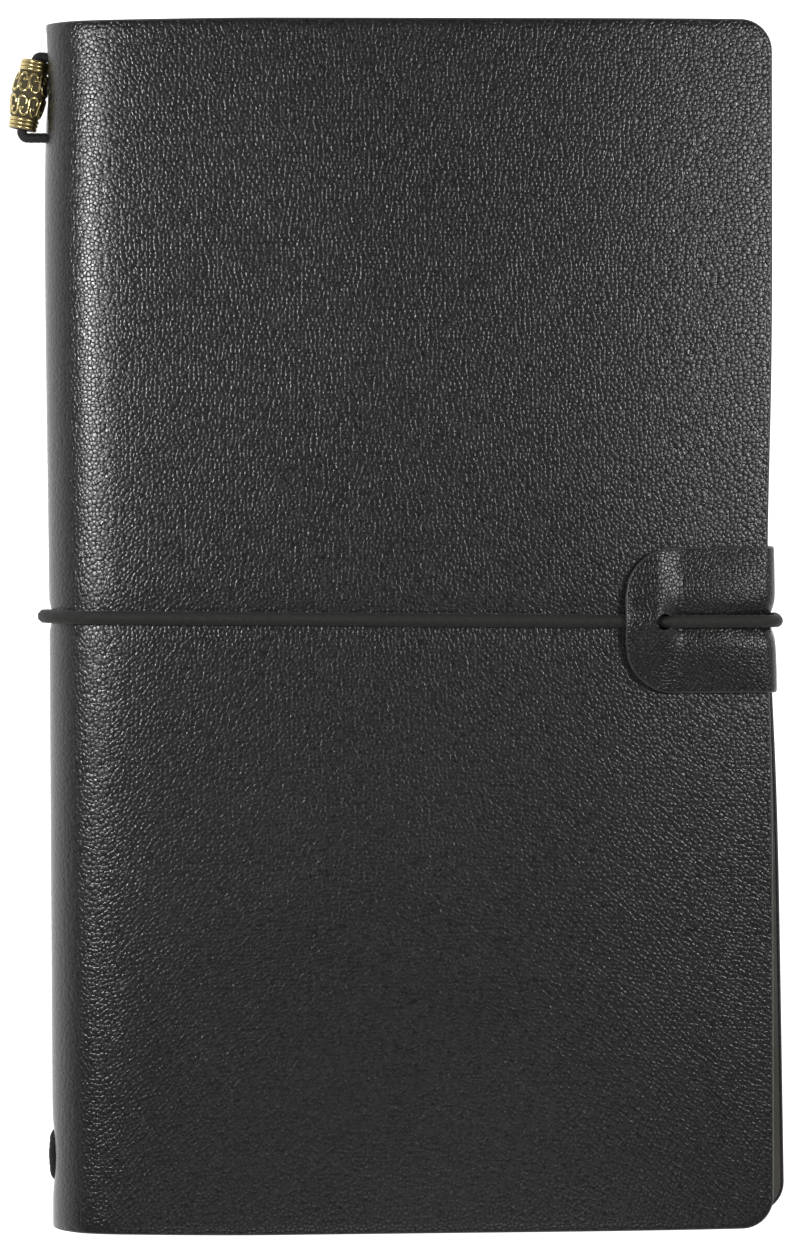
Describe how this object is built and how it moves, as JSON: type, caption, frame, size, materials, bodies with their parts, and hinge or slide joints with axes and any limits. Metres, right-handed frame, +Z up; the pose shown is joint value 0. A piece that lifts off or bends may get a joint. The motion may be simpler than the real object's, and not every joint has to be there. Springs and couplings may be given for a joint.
{
  "type": "pocket notebook",
  "caption": "Refillable pocket notebook with a wrap-round leather cover, stapled booklets on elastic strands, an elastic closure with a pull tab, and a brass bead at the spine.",
  "frame": {"origin": "under the middle of the whole closed notebook, on the surface that it lies on", "axes": "+X to the fore-edge, +Y to the head, +Z up through the front cover"},
  "size_m": [0.1316, 0.203, 0.0217],
  "materials": {
    "leather": "black pebble-grained leather, soft satin sheen",
    "lining": "smooth grey-brown lining",
    "tab_leather": "black pebble-grained leather, dark painted edge",
    "elastic": "black braided covering over an elastic core",
    "brass": "antique brass, dark patina in the recesses",
    "card": "black matt card",
    "paper": "cream uncoated paper",
    "wire": "galvanised steel wire"
  },
  "bodies": {
    "back": {"back_cover_leather": "leather", "back_cover_lining": "lining", "spine_leather": "leather", "spine_lining": "lining", "closure_elastic_front": "elastic", "closure_elastic_back": "elastic", "closure_knot": "elastic", "tail_cord": "elastic", "binding_strand_top": "elastic", "binding_strand_middle": "elastic", "binding_strand_bottom": "elastic", "binding_knots": "elastic", "bottom_booklet_card": "card", "bottom_booklet_pages": "paper", "bottom_booklet_staples": "wire", "middle_booklet_card": "card", "middle_booklet_pages": "paper", "middle_booklet_staples": "wire", "top_booklet_back_card": "card", "top_booklet_lower_pages": "paper", "top_booklet_staples": "wire"},
    "front": {"front_cover_leather": "leather", "front_cover_lining": "lining"},
    "front_card": {"top_booklet_front_card": "card"},
    "leaves_third": {"top_booklet_leaves_third": "paper"},
    "leaves_second": {"top_booklet_leaves_second": "paper"},
    "leaves_first": {"top_booklet_leaves_first": "paper"},
    "tab": {"closure_tab": "tab_leather", "closure_elastic_tab": "elastic"},
    "bead_loop": {"bead_cord": "elastic"},
    "bead": {"bead": "brass"}
  },
  "joints": [
    {"name": "cover_open", "type": "hinge", "parent": "back", "child": "front", "pos_m": [-0.05045, 0, 0.018], "axis": [0, -1, 0], "range_deg": [0, 176], "deforming": ["closure_tab", "closure_elastic_front", "closure_elastic_tab", "closure_elastic_back"]},
    {"name": "card_turn", "type": "hinge", "parent": "back", "child": "front_card", "pos_m": [-0.0483, 0, 0.01365], "axis": [0, -1, 0], "range_deg": [0, 86.5]},
    {"name": "leaves_third_turn", "type": "hinge", "parent": "back", "child": "leaves_third", "pos_m": [-0.0483, 0, 0.01365], "axis": [0, -1, 0], "range_deg": [0, 65.5]},
    {"name": "leaves_second_turn", "type": "hinge", "parent": "back", "child": "leaves_second", "pos_m": [-0.0483, 0, 0.01365], "axis": [0, -1, 0], "range_deg": [0, 44.5]},
    {"name": "leaves_first_turn", "type": "hinge", "parent": "back", "child": "leaves_first", "pos_m": [-0.0483, 0, 0.01365], "axis": [0, -1, 0], "range_deg": [0, 21.5]},
    {"name": "tab_pull", "type": "slide", "parent": "back", "child": "tab", "axis": [1, 0, 0], "range_m": [0, 0.025], "stiffness_N_per_m": 60},
    {"name": "bead_swing", "type": "hinge", "parent": "back", "child": "bead_loop", "pos_m": [-0.05955, 0.08885, 0.009], "axis": [0, 1, 0], "range_deg": [-20, 20], "stiffness_Nm_per_rad": 0.01, "deforming": ["bead_cord"]},
    {"name": "bead_spin", "type": "hinge", "parent": "bead_loop", "child": "bead", "pos_m": [-0.06235, 0.0894, 0.009], "axis": [0.1994, 0.9799, 0], "continuous": true}
  ],
  "couplings": [
    {"joint": "card_turn", "follows": "cover_open", "ratio": 0.49},
    {"joint": "leaves_third_turn", "follows": "cover_open", "ratio": 0.37},
    {"joint": "leaves_second_turn", "follows": "cover_open", "ratio": 0.25},
    {"joint": "leaves_first_turn", "follows": "cover_open", "ratio": 0.12}
  ]
}
